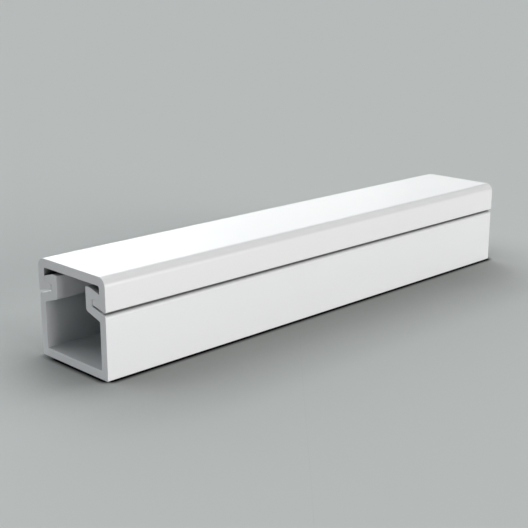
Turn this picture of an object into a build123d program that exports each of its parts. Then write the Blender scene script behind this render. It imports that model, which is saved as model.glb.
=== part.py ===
from build123d import *

import os
from math import radians, tan

# Mini trunking for a cord: a C-shaped channel and a cover that snaps over its two limbs.
# Both are straight extrusions along X. The origin is at mid-length, on the centre line of
# the channel's flat back, and +Z points from the back to the cover's face.

# Overall sizes, in millimetres
LENGTH = 100.0
BASE_WIDTH = 17.2
HEIGHT = 16.2

# Walls of the channel
FLOOR_THICKNESS = 1.4
WALL_THICKNESS = 1.4
SHOULDER_THICKNESS = 1.43
LIMB_THICKNESS = 1.55

# Barb that runs along the top of each limb and points outwards
CREST_WIDTH = 1.1
BARB_REACH = 1.9
BARB_NOSE_HEIGHT = 0.85

# Walls of the cover and of the hook inside each of its flanges
LID_TOP_THICKNESS = 1.45
FLANGE_THICKNESS = 1.45
HOOK_TIP_HEIGHT = 0.85

# Clearances between the channel and the cover
LID_OVERHANG = 0.1
HEADROOM = 0.7
SEAM_GAP = 0.33
NOSE_CLEARANCE = 0.01
SNAP_CLEARANCE = 0.01
HOOK_TIP_CLEARANCE = 0.12

# Slopes across the section, in degrees from level
HOOK_UNDERSIDE_SLOPE = 12.0
SHOULDER_TOP_SLOPE = 14.3
SHOULDER_UNDERSIDE_SLOPE = 17.0
LEAD_IN_SLOPE = 15.5
RETAINING_SLOPE = 7.0

# Corner radii of the section
LID_EDGE_RADIUS = 1.5
LID_INNER_RADIUS = 0.4
LID_SEAM_RADIUS = 0.2
SHOULDER_EDGE_RADIUS = 0.65
SHOULDER_ROOT_RADIUS = 0.3
LIMB_FOOT_RADIUS = 0.6
CREST_RADIUS = 0.25
FLOOR_CORNER_RADIUS = 0.2
SNAP_EDGE_RADIUS = 0.15
SNAP_ROOT_RADIUS = 0.1

# Distances from the centre line, worked out from the outside inwards
wall_outer_y = BASE_WIDTH / 2
wall_inner_y = wall_outer_y - WALL_THICKNESS
flange_outer_y = wall_outer_y + LID_OVERHANG
flange_inner_y = flange_outer_y - FLANGE_THICKNESS
barb_nose_y = flange_inner_y - NOSE_CLEARANCE
limb_outer_y = barb_nose_y - BARB_REACH
limb_inner_y = limb_outer_y - LIMB_THICKNESS
crest_outer_y = limb_inner_y + CREST_WIDTH
hook_tip_y = limb_outer_y + HOOK_TIP_CLEARANCE

# Levels above the back, worked out from the cover's face downwards
lid_underside_z = HEIGHT - LID_TOP_THICKNESS
crest_z = lid_underside_z - HEADROOM
nose_top_z = crest_z - (barb_nose_y - crest_outer_y) * tan(radians(LEAD_IN_SLOPE))
nose_bottom_z = nose_top_z - BARB_NOSE_HEIGHT


def barb_underside_z(y):
    """Level of the barb's retaining face, which dips towards the limb."""
    return nose_bottom_z - (barb_nose_y - y) * tan(radians(RETAINING_SLOPE))


def hook_top_z(y):
    """Level of the hook's retaining face, parallel to the barb's and just below it."""
    return barb_underside_z(y) - SNAP_CLEARANCE


def hook_underside_z(y):
    """Level of the hook's lower face, which rises from the seam towards the limb."""
    lowest_at_tip = hook_top_z(hook_tip_y) - HOOK_TIP_HEIGHT
    return lowest_at_tip - (y - hook_tip_y) * tan(radians(HOOK_UNDERSIDE_SLOPE))


def shoulder_top_z(y):
    """Level of the shoulder's upper face, a seam gap below the hook's tip and steeper than the hook."""
    below_tip = hook_underside_z(hook_tip_y) - SEAM_GAP
    return below_tip - (y - hook_tip_y) * tan(radians(SHOULDER_TOP_SLOPE))


def shoulder_underside_z(y):
    """Level of the shoulder's lower face, which rises from the wall towards the mouth."""
    at_limb = shoulder_top_z(limb_outer_y) - SHOULDER_THICKNESS
    return at_limb + (limb_outer_y - y) * tan(radians(SHOULDER_UNDERSIDE_SLOPE))


def channel_corners():
    """Right half of the channel's outline as (y, z, radius), from the back round to the floor."""
    return [
        (wall_outer_y, 0, FLOOR_CORNER_RADIUS),
        (wall_outer_y, shoulder_top_z(wall_outer_y), SHOULDER_EDGE_RADIUS),
        (limb_outer_y, shoulder_top_z(limb_outer_y), SNAP_ROOT_RADIUS),
        (limb_outer_y, barb_underside_z(limb_outer_y), SNAP_ROOT_RADIUS),
        (barb_nose_y, nose_bottom_z, SNAP_EDGE_RADIUS),
        (barb_nose_y, nose_top_z, SNAP_EDGE_RADIUS),
        (crest_outer_y, crest_z, CREST_RADIUS),
        (limb_inner_y, crest_z, CREST_RADIUS),
        (limb_inner_y, shoulder_underside_z(limb_inner_y), LIMB_FOOT_RADIUS),
        (wall_inner_y, shoulder_underside_z(wall_inner_y), SHOULDER_ROOT_RADIUS),
        (wall_inner_y, FLOOR_THICKNESS, FLOOR_CORNER_RADIUS),
    ]


def lid_corners():
    """Right half of the cover's outline as (y, z, radius), from its underside round to its top."""
    return [
        (flange_inner_y, lid_underside_z, LID_INNER_RADIUS),
        (flange_inner_y, hook_top_z(flange_inner_y), SNAP_ROOT_RADIUS),
        (hook_tip_y, hook_top_z(hook_tip_y), SNAP_EDGE_RADIUS),
        (hook_tip_y, hook_underside_z(hook_tip_y), SNAP_EDGE_RADIUS),
        (flange_outer_y, hook_underside_z(flange_outer_y), LID_SEAM_RADIUS),
        (flange_outer_y, HEIGHT, LID_EDGE_RADIUS),
    ]


def extrusion(right_half, name):
    """Solid of the whole length, from the right half of a section that is alike on both sides."""
    left_half = [(-y, z, radius) for y, z, radius in reversed(right_half)]
    corners = right_half + left_half
    outline = FilletPolyline(
        [(y, z) for y, z, _ in corners],
        radius=[radius for _, _, radius in corners],
        close=True,
    )
    section = Plane.YZ * make_face(outline)
    solid = extrude(section, LENGTH / 2, both=True)
    solid.label = name
    return solid


pieces = [
    extrusion(channel_corners(), "base_channel"),
    extrusion(lid_corners(), "snap_lid"),
]

os.makedirs("parts", exist_ok=True)
for piece in pieces:
    export_step(piece, f"parts/{piece.label}.step")
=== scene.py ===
import math

import bpy
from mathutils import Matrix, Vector

# Camera, as solved from the straight edges in the photo
PHOTO_SIDE_PX = 528
FOCAL_PX = 1071.0
CAMERA_PLACE = Vector((-0.13888, -0.13187, 0.06029))
CAMERA_YAW = math.radians(45.35)
CAMERA_PITCH = math.radians(-15.58)
SENSOR_WIDTH = 36.0
CLIP_START = 0.005
CLIP_END = 50.0

# Lamps, each far away and round: name, strength, azimuth from +X, height and width in degrees, tint
LAMPS = (
    ("side_lamp", 1.76, -86.0, 6.0, 30.0, (1.0, 1.0, 0.995)),
    ("low_side_lamp", 1.3, -68.0, 3.0, 30.0, (1.0, 1.0, 0.995)),
    ("back_lamp", 0.88, 60.0, 15.0, 60.0, (1.0, 1.0, 1.0)),
    ("low_back_lamp", 0.15, 56.0, 7.0, 36.0, (1.0, 1.0, 1.0)),
    ("wide_back_lamp", 1.67, 96.0, 25.0, 90.0, (0.95, 1.0, 1.04)),
    ("top_lamp", 0.32, 60.0, 75.0, 60.0, (1.0, 1.0, 1.0)),
)

# Surroundings: what lights the part evenly, and the plain backdrop that the camera and reflections see
SKY_COLOUR = (0.142, 0.15, 0.156)
BACKDROP_COLOUR = (0.474, 0.503, 0.491)

# Below, the near end is at -X, the near side at -Y and the far side at +Y. A level is a height above the
# channel's back. A tone is a factor on a colour. Openness, from 0 to 1, is how free a surface is of others
# within a reach. A facing is the X or Z component of a surface's normal. A pair of places, levels, openness
# values or facings is where a change starts and where it is complete.

# Floor: its colour as seen, its colour as it lights the part, its roughness, and how far it reaches
FLOOR_COLOUR = (0.72, 0.738, 0.714)
FLOOR_BOUNCE_COLOUR = (0.68, 0.68, 0.68)
FLOOR_ROUGHNESS = 0.9
FLOOR_REACH = 8.0

# Shade on the floor all round the part, which is lighter past the far end
SHADE_REACH = 0.023
SHADE_SAMPLES = 12
SHADE_OPENNESS = (0.5, 1.0)
SHADE_TONE = 0.49
LIGHT_SHADE_TONE = 0.66
FAR_SHADE_X = (0.034, 0.05)

# Shade on the floor before the near end, which is lighter too, and has a second, wider one on top
END_SHADE_REACH = 0.034
END_SHADE_OPENNESS = (0.78, 0.97)
END_SHADE_TONE = 0.73
END_SHADE_X = (-0.042, -0.051)
END_SHADE_Y = (-0.016, -0.006)

# Painted contact shadow: a dark line on the floor along the part's foot, which fades out at the near end's
# far corner
CONTACT_REACH = 0.00165
CONTACT_SAMPLES = 32
CONTACT_OPENNESS = (0.66, 0.97)
CONTACT_SHADOW_TONE = 0.005
CONTACT_POWER = 1.2
CONTACT_END_X = (-0.047, -0.0495)
CONTACT_END_Y = (0.005, 0.0085)

# White rigid PVC: each piece's node, material, colour, and whether no other piece counts in the painted
# shade of its cavities
PIECES = (
    ("base_channel", "channel_plastic", (0.842, 0.84, 0.838), True),
    ("snap_lid", "cover_plastic", (0.852, 0.842, 0.838), False),
)
PLASTIC_IOR = 1.53

# Roughness of the drawn skin and of the sawn ends, each at its least and most, and what tells them apart
SKIN_ROUGHNESS = (0.278, 0.282)
CUT_ROUGHNESS = (0.48, 0.62)
CUT_FACING = (0.6, 0.9)

# Relief of the plastic: softened edges, lines drawn by the die, a slow swell, and saw lines on both ends.
# The saw lines don't change along the part, so their pitch that way is longer than the part.
EDGE_RADIUS = 0.00006
EDGE_SAMPLES = 4
DIE_LINE_PITCH = 0.0004
DIE_LINE_LENGTH = 0.05
DIE_LINE_DEPTH = 0.0000001
SWELL_PITCH = 0.009
SWELL_LENGTH = 0.027
SWELL_DEPTH = 0.000002
SAW_LINE_PITCH = 0.00022
SAW_LINE_LENGTH = 0.006
SAW_LINE_PITCH_ALONG = 1.0
SAW_LINE_DEPTH = 0.0000045
SAW_ANGLE = math.radians(62.0)

# Slight mottle of the skin and of the sawn ends, and the values between which most of a noise lies
NOISE_RANGE = (0.3, 0.7)
MOTTLE_PITCH = 0.006
MOTTLE_LENGTH = 0.024
MOTTLE_TONE = (0.99, 1.0)
SAW_LINE_TONE = (0.985, 1.015)

# Sawn ends: painted light and shade on their tone, from the foot upwards and from the near side to the far
# side
CUT_PAINTED_LIGHT = (1.08, 0.94)
CUT_TONE_LEVEL = (0.0, 0.009)
CUT_SIDE_PAINTED_LIGHT = (1.015, 0.95)
CUT_SIDE_Y = (-0.0085, 0.0085)

# Cavities: painted shade where they are closed in, with its tint, and its tone low down, at mid height, and
# from the shoulders up
CAVITY_REACH = 0.03
CAVITY_SAMPLES = 6
CAVITY_OPENNESS = (0.0, 0.5)
CAVITY_SHADE_TINT = (0.93, 1.0, 1.03)
LOW_CAVITY_SHADE = 0.56
LOW_CAVITY_LEVEL = (0.002, 0.006)
MID_CAVITY_SHADE = 0.4
HIGH_CAVITY_LEVEL = (0.0092, 0.01)
HIGH_CAVITY_SHADE = 0.1

# Channel's inner floor: its tone where it is closed in, which is painted light, and where it is open, which
# is painted shade
INNER_FLOOR_PAINTED_LIGHT = (1.15, 0.87)
INNER_FLOOR_FACING = (0.8, 0.95)
INNER_FLOOR_LEVEL = (0.0024, 0.0016)

# Seam along the near side, which painted shade makes dark, and where to look for it
SEAM_REACH = 0.001
SEAM_SAMPLES = 8
SEAM_SHADE_TONE = 0.1
SEAM_POWER = 1.25
SEAM_Y = (-0.0076, -0.008)
SEAM_LEVEL = (0.004, 0.006)

# Seam along the far side, which painted light makes bright at the near end: its limits across, upwards and
# along the part
FAR_SEAM_LIGHT_TONE = 1.15
FAR_SEAM_Y = ((0.0052, 0.0055), (0.0085, 0.0082))
FAR_SEAM_LEVEL = ((0.0097, 0.0101), (0.0121, 0.0118))
FAR_SEAM_X = (-0.042, -0.046)

# Painted shade in the pockets between the cover and the barbs
POCKET_REACH = 0.004
POCKET_SAMPLES = 6
POCKET_SHADE_TONE = 0.15
POCKET_LEVEL = (0.0122, 0.0128)

# Cover's rounded edges, from upright to level: painted shade, then painted light, then the painted light of
# the top
ROUNDED_LEVEL = (0.0143, 0.0148)
EDGE_SHADE_TONE = 0.91
EDGE_SHADE_FACING = (0.2, 0.45)
EDGE_LIGHT_TONE = 1.08
EDGE_LIGHT_FACING = (0.5, 0.88)
TOP_LIGHT_TONE = 1.03
TOP_FACING = (0.9, 1.0)


def link(tree, source, target):
    tree.links.new(source, target)


def fill(tree, socket, value):
    """Gives an input its value, which is a socket or a constant."""
    if isinstance(value, bpy.types.NodeSocket):
        link(tree, value, socket)
    else:
        socket.default_value = value


def node(tree, kind, **settings):
    """A shader node with its settings."""
    made = tree.nodes.new(kind)
    for name, value in settings.items():
        setattr(made, name, value)
    return made


def axes(tree, vector):
    """Outputs of a vector's X, Y and Z."""
    made = node(tree, "ShaderNodeSeparateXYZ")
    link(tree, vector, made.inputs[0])
    return made.outputs


def maths(tree, operation, first, second=0.0, clamp=False):
    """Output of a Math node on two inputs, each a socket or a number."""
    made = node(tree, "ShaderNodeMath", operation=operation, use_clamp=clamp)
    fill(tree, made.inputs[0], first)
    fill(tree, made.inputs[1], second)
    return made.outputs[0]


def product(tree, first, *others):
    """Output of several numbers multiplied."""
    for other in others:
        first = maths(tree, "MULTIPLY", first, other)
    return first


def ramp(tree, value, change, low, high):
    """Output that goes evenly from low to high as the value goes from the start to the end of a change."""
    made = node(tree, "ShaderNodeMapRange", clamp=True)
    link(tree, value, made.inputs["Value"])
    for name, number in zip(("From Min", "From Max", "To Min", "To Max"), (*change, low, high)):
        made.inputs[name].default_value = number
    return made.outputs["Result"]


def rise(tree, value, change):
    """Output that goes evenly from 0 to 1 as the value goes from the start to the end of a change."""
    return ramp(tree, value, change, 0.0, 1.0)


def blend(tree, factor, first, second):
    """Output of a number that goes from the first to the second, each a socket or a number."""
    made = node(tree, "ShaderNodeMix", data_type="FLOAT")
    link(tree, factor, made.inputs[0])
    fill(tree, made.inputs[2], first)
    fill(tree, made.inputs[3], second)
    return made.outputs[0]


def blend_vectors(tree, factor, first, second):
    """Output of three numbers that go from the first to the second, each a socket or three numbers."""
    made = node(tree, "ShaderNodeMix", data_type="VECTOR")
    link(tree, factor, made.inputs[0])
    fill(tree, made.inputs[4], first)
    fill(tree, made.inputs[5], second)
    return made.outputs[1]


def scaled(tree, colour, factor):
    """Output of a colour, a socket or three numbers, times a socket's number."""
    made = node(tree, "ShaderNodeVectorMath", operation="SCALE")
    fill(tree, made.inputs[0], colour)
    link(tree, factor, made.inputs["Scale"])
    return made.outputs[0]


def noise(tree, place, pitch, turn=(0, 0, 0), detail=2.0):
    """Output of noise from 0 to 1, with a pitch in metres along each axis of the turned piece."""
    frame_of_noise = node(tree, "ShaderNodeMapping", vector_type="TEXTURE")
    frame_of_noise.inputs["Rotation"].default_value = turn
    frame_of_noise.inputs["Scale"].default_value = pitch
    link(tree, place, frame_of_noise.inputs["Vector"])
    made = node(tree, "ShaderNodeTexNoise")
    made.inputs["Scale"].default_value = 1.0
    made.inputs["Detail"].default_value = detail
    link(tree, frame_of_noise.outputs[0], made.inputs["Vector"])
    return made.outputs["Fac"]


def bump(tree, height, depth, normal):
    """Normal of a surface with that relief on top of another normal."""
    made = node(tree, "ShaderNodeBump")
    made.inputs["Strength"].default_value = 1.0
    made.inputs["Distance"].default_value = depth
    link(tree, height, made.inputs["Height"])
    link(tree, normal, made.inputs["Normal"])
    return made.outputs["Normal"]


def openness(tree, reach, samples, alone=False):
    """Output of how open a surface is within that reach, to its own piece alone if so asked."""
    made = node(tree, "ShaderNodeAmbientOcclusion", samples=samples, only_local=alone)
    made.inputs["Distance"].default_value = reach
    return made.outputs["AO"]


def new_material(name):
    """A material with nodes, its node tree and its shader node."""
    material = bpy.data.materials.new(name)
    material.use_nodes = True
    tree = material.node_tree
    return material, tree, tree.nodes["Principled BSDF"]


def plastic_normal(tree, place, cut, die_lines, saw_lines):
    """Normal of the plastic: swell and die lines on its skin, saw lines on its ends."""
    swell = noise(tree, place, (SWELL_LENGTH, SWELL_PITCH, SWELL_PITCH), detail=0.0)
    edges = node(tree, "ShaderNodeBevel", samples=EDGE_SAMPLES)
    edges.inputs["Radius"].default_value = EDGE_RADIUS
    skin = bump(tree, swell, SWELL_DEPTH, edges.outputs[0])
    skin = bump(tree, die_lines, DIE_LINE_DEPTH, skin)
    ends = bump(tree, saw_lines, SAW_LINE_DEPTH, edges.outputs[0])
    return blend_vectors(tree, cut, skin, ends)


def far_seam_end(tree, x, y, z):
    """Output that is 1 in the far seam at the near end, and 0 elsewhere."""
    across = [rise(tree, y, limit) for limit in FAR_SEAM_Y]
    up = [rise(tree, z, limit) for limit in FAR_SEAM_LEVEL]
    return product(tree, rise(tree, x, FAR_SEAM_X), *across, *up)


def cavity_painted_light(tree, lit, place, facing_z):
    """Painted shade that darkens the cavities, with painted light for the far seam's near end and painted
    light and shade on the inner floor.
    """
    x, y, z = place
    closed = ramp(tree, z, LOW_CAVITY_LEVEL, LOW_CAVITY_SHADE, MID_CAVITY_SHADE)
    closed = blend(tree, rise(tree, z, HIGH_CAVITY_LEVEL), closed, HIGH_CAVITY_SHADE)
    tone = blend(tree, lit, closed, 1.0)
    tone = blend(tree, far_seam_end(tree, x, y, z), tone, FAR_SEAM_LIGHT_TONE)
    inner_floor = product(tree, rise(tree, facing_z, INNER_FLOOR_FACING), rise(tree, z, INNER_FLOOR_LEVEL))
    return blend(tree, inner_floor, tone, blend(tree, lit, *INNER_FLOOR_PAINTED_LIGHT))


def seam_painted_shade(tree, y, z):
    """Painted shade that darkens the seam along the near side."""
    at_seam = product(tree, rise(tree, y, SEAM_Y), rise(tree, z, SEAM_LEVEL))
    shade = maths(tree, "POWER", openness(tree, SEAM_REACH, SEAM_SAMPLES), SEAM_POWER)
    return blend(tree, at_seam, 1.0, blend(tree, shade, SEAM_SHADE_TONE, 1.0))


def pocket_painted_shade(tree, z):
    """Painted shade that darkens the pockets between the cover and the barbs."""
    around = openness(tree, POCKET_REACH, POCKET_SAMPLES)
    shade = ramp(tree, around, CAVITY_OPENNESS, POCKET_SHADE_TONE, 1.0)
    return blend(tree, rise(tree, z, POCKET_LEVEL), 1.0, shade)


def rounded_painted_light(tree, z, facing_z):
    """Painted light and shade on the cover's rounded edges and top."""
    rounded = product(
        tree,
        ramp(tree, facing_z, EDGE_SHADE_FACING, 1.0, EDGE_SHADE_TONE),
        ramp(tree, facing_z, EDGE_LIGHT_FACING, 1.0, EDGE_LIGHT_TONE / EDGE_SHADE_TONE),
        ramp(tree, facing_z, TOP_FACING, 1.0, TOP_LIGHT_TONE / EDGE_LIGHT_TONE),
    )
    return blend(tree, rise(tree, z, ROUNDED_LEVEL), 1.0, rounded)


def plastic(name, colour, alone):
    """White rigid PVC: drawn smooth along X by the die, and sawn dull across both ends, with painted light
    and shade in its colour.
    """
    material, tree, shader = new_material(name)
    coordinates = node(tree, "ShaderNodeTexCoord")
    place = coordinates.outputs["Object"]
    x, y, z = axes(tree, place)
    facing_x, _, facing_z = axes(tree, coordinates.outputs["Normal"])
    cut = rise(tree, maths(tree, "ABSOLUTE", facing_x), CUT_FACING)
    die_lines = noise(tree, place, (DIE_LINE_LENGTH, DIE_LINE_PITCH, DIE_LINE_PITCH))
    saw_line_pitches = (SAW_LINE_PITCH_ALONG, SAW_LINE_LENGTH, SAW_LINE_PITCH)
    saw_lines = noise(tree, place, saw_line_pitches, turn=(SAW_ANGLE, 0, 0))
    mottle = noise(tree, place, (MOTTLE_LENGTH, MOTTLE_PITCH, MOTTLE_PITCH))

    skin_roughness = ramp(tree, die_lines, NOISE_RANGE, *SKIN_ROUGHNESS)
    cut_roughness = ramp(tree, saw_lines, NOISE_RANGE, *CUT_ROUGHNESS)
    link(tree, blend(tree, cut, skin_roughness, cut_roughness), shader.inputs["Roughness"])
    link(tree, plastic_normal(tree, place, cut, die_lines, saw_lines), shader.inputs["Normal"])
    shader.inputs["IOR"].default_value = PLASTIC_IOR

    # Painted shade: closed-in places get a darker, cooler colour
    lit = rise(tree, openness(tree, CAVITY_REACH, CAVITY_SAMPLES, alone), CAVITY_OPENNESS)
    # Skin colour: its mottle, with painted light and shade on cavities, seams, pockets and rounded edges
    skin_mottle_and_painted_light = product(
        tree,
        cavity_painted_light(tree, lit, (x, y, z), facing_z),
        seam_painted_shade(tree, y, z),
        pocket_painted_shade(tree, z),
        rounded_painted_light(tree, z, facing_z),
        ramp(tree, mottle, NOISE_RANGE, *MOTTLE_TONE),
    )
    # Sawn ends' colour: their saw lines, with painted light and shade
    cut_saw_lines_and_painted_light = product(
        tree,
        ramp(tree, z, CUT_TONE_LEVEL, *CUT_PAINTED_LIGHT),
        ramp(tree, y, CUT_SIDE_Y, *CUT_SIDE_PAINTED_LIGHT),
        ramp(tree, saw_lines, NOISE_RANGE, *SAW_LINE_TONE),
    )
    # Cool tint of the painted shade where the plastic is closed in
    closed_shade_colour = [channel * tint for channel, tint in zip(colour, CAVITY_SHADE_TINT)]
    painted_shade_colour = blend_vectors(tree, lit, closed_shade_colour, colour)
    link(tree, scaled(tree, painted_shade_colour, blend(tree, cut, skin_mottle_and_painted_light, cut_saw_lines_and_painted_light)), shader.inputs["Base Color"])
    return material


def seen(tree):
    """Output that is 1 for what the camera, a reflection or glass sees, and 0 for light on matt faces."""
    path = node(tree, "ShaderNodeLightPath")
    some = maths(tree, "ADD", path.outputs["Is Camera Ray"], path.outputs["Is Glossy Ray"])
    return maths(tree, "ADD", some, path.outputs["Is Transmission Ray"], clamp=True)


def shade_tone(tree, x, y):
    """Tone of the shade on the floor round the part."""
    before_end = product(tree, rise(tree, x, END_SHADE_X), rise(tree, y, END_SHADE_Y))
    lighter = maths(tree, "MAXIMUM", before_end, rise(tree, x, FAR_SHADE_X))
    around = openness(tree, SHADE_REACH, SHADE_SAMPLES)
    full = ramp(tree, around, SHADE_OPENNESS, SHADE_TONE, 1.0)
    light = ramp(tree, around, SHADE_OPENNESS, LIGHT_SHADE_TONE, 1.0)
    far_around = openness(tree, END_SHADE_REACH, SHADE_SAMPLES)
    wide = ramp(tree, far_around, END_SHADE_OPENNESS, END_SHADE_TONE, 1.0)
    return product(tree, blend(tree, lighter, full, light), blend(tree, before_end, 1.0, wide))


def contact_shadow_tone(tree, x, y):
    """Tone of the painted contact shadow: a dark line on the floor along the part's foot."""
    around = openness(tree, CONTACT_REACH, CONTACT_SAMPLES)
    line = ramp(tree, around, CONTACT_OPENNESS, CONTACT_SHADOW_TONE, 1.0)
    line = maths(tree, "POWER", line, CONTACT_POWER)
    at_corner = product(tree, rise(tree, x, CONTACT_END_X), rise(tree, y, CONTACT_END_Y))
    return blend(tree, at_corner, line, 1.0)


def floor_material():
    """Pale matt paper with painted shade towards the part, darkest along the line of contact."""
    material, tree, shader = new_material("floor_paper")
    shader.inputs["Roughness"].default_value = FLOOR_ROUGHNESS
    shader.inputs["Specular IOR Level"].default_value = 0.0
    x, y, _ = axes(tree, node(tree, "ShaderNodeTexCoord").outputs["Object"])
    # Painted shade and contact shadow on the floor as the camera sees it
    shown = scaled(tree, FLOOR_COLOUR, product(tree, shade_tone(tree, x, y), contact_shadow_tone(tree, x, y)))
    colour = blend_vectors(tree, seen(tree), FLOOR_BOUNCE_COLOUR, shown)
    link(tree, colour, shader.inputs["Base Color"])
    return material


def add_object(name, data):
    """An object of that name in the scene."""
    made = bpy.data.objects.new(name, data)
    bpy.context.scene.collection.objects.link(made)
    return made


def add_floor():
    mesh = bpy.data.meshes.new("floor")
    sides = ((-1, -1), (1, -1), (1, 1), (-1, 1))
    mesh.from_pydata([(x * FLOOR_REACH, y * FLOOR_REACH, 0) for x, y in sides], [], [(0, 1, 2, 3)])
    floor = add_object("floor", mesh)
    mesh.materials.append(floor_material())


def direction(azimuth, height):
    """Unit vector at that azimuth from +X and that height, both in radians."""
    level = math.cos(height)
    return Vector((math.cos(azimuth) * level, math.sin(azimuth) * level, math.sin(height)))


def add_lamp(name, strength, azimuth, height, width, tint):
    data = bpy.data.lights.new(name, "SUN")
    data.energy = strength
    data.angle = math.radians(width)
    data.color = tint
    lamp = add_object(name, data)
    towards = direction(math.radians(azimuth), math.radians(height))
    lamp.rotation_mode = "QUATERNION"
    lamp.rotation_quaternion = towards.to_track_quat("Z", "Y")


def background(tree, colour):
    """Shader of a plain background in that colour."""
    made = node(tree, "ShaderNodeBackground")
    made.inputs["Color"].default_value = (*colour, 1)
    return made.outputs[0]


def add_world():
    world = bpy.data.worlds.new("studio")
    bpy.context.scene.world = world
    world.use_nodes = True
    tree = world.node_tree
    tree.nodes.clear()
    mix = node(tree, "ShaderNodeMixShader")
    link(tree, seen(tree), mix.inputs["Fac"])
    link(tree, background(tree, SKY_COLOUR), mix.inputs[1])
    link(tree, background(tree, BACKDROP_COLOUR), mix.inputs[2])
    link(tree, mix.outputs[0], node(tree, "ShaderNodeOutputWorld").inputs["Surface"])


def add_camera():
    data = bpy.data.cameras.new("camera")
    data.sensor_fit = "HORIZONTAL"
    data.sensor_width = SENSOR_WIDTH
    data.lens = FOCAL_PX / PHOTO_SIDE_PX * SENSOR_WIDTH
    data.clip_start = CLIP_START
    data.clip_end = CLIP_END
    camera = add_object("camera", data)
    camera.location = CAMERA_PLACE
    camera.rotation_mode = "QUATERNION"
    camera.rotation_quaternion = direction(CAMERA_YAW, CAMERA_PITCH).to_track_quat("-Z", "Y")
    bpy.context.scene.camera = camera


def finish_piece(name, material):
    """Gives a CAD node its material."""
    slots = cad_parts[name].data.materials
    slots.clear()
    slots.append(material)


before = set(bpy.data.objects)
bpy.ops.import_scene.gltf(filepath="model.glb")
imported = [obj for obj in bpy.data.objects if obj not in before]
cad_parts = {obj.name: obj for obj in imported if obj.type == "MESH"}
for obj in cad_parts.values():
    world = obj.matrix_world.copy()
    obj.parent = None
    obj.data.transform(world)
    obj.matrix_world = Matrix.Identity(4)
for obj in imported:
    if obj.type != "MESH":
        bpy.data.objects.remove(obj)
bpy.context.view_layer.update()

for piece, *finish in PIECES:
    finish_piece(piece, plastic(*finish))

add_floor()
add_world()
for lamp in LAMPS:
    add_lamp(*lamp)
add_camera()
bpy.context.scene.view_settings.view_transform = "Standard"
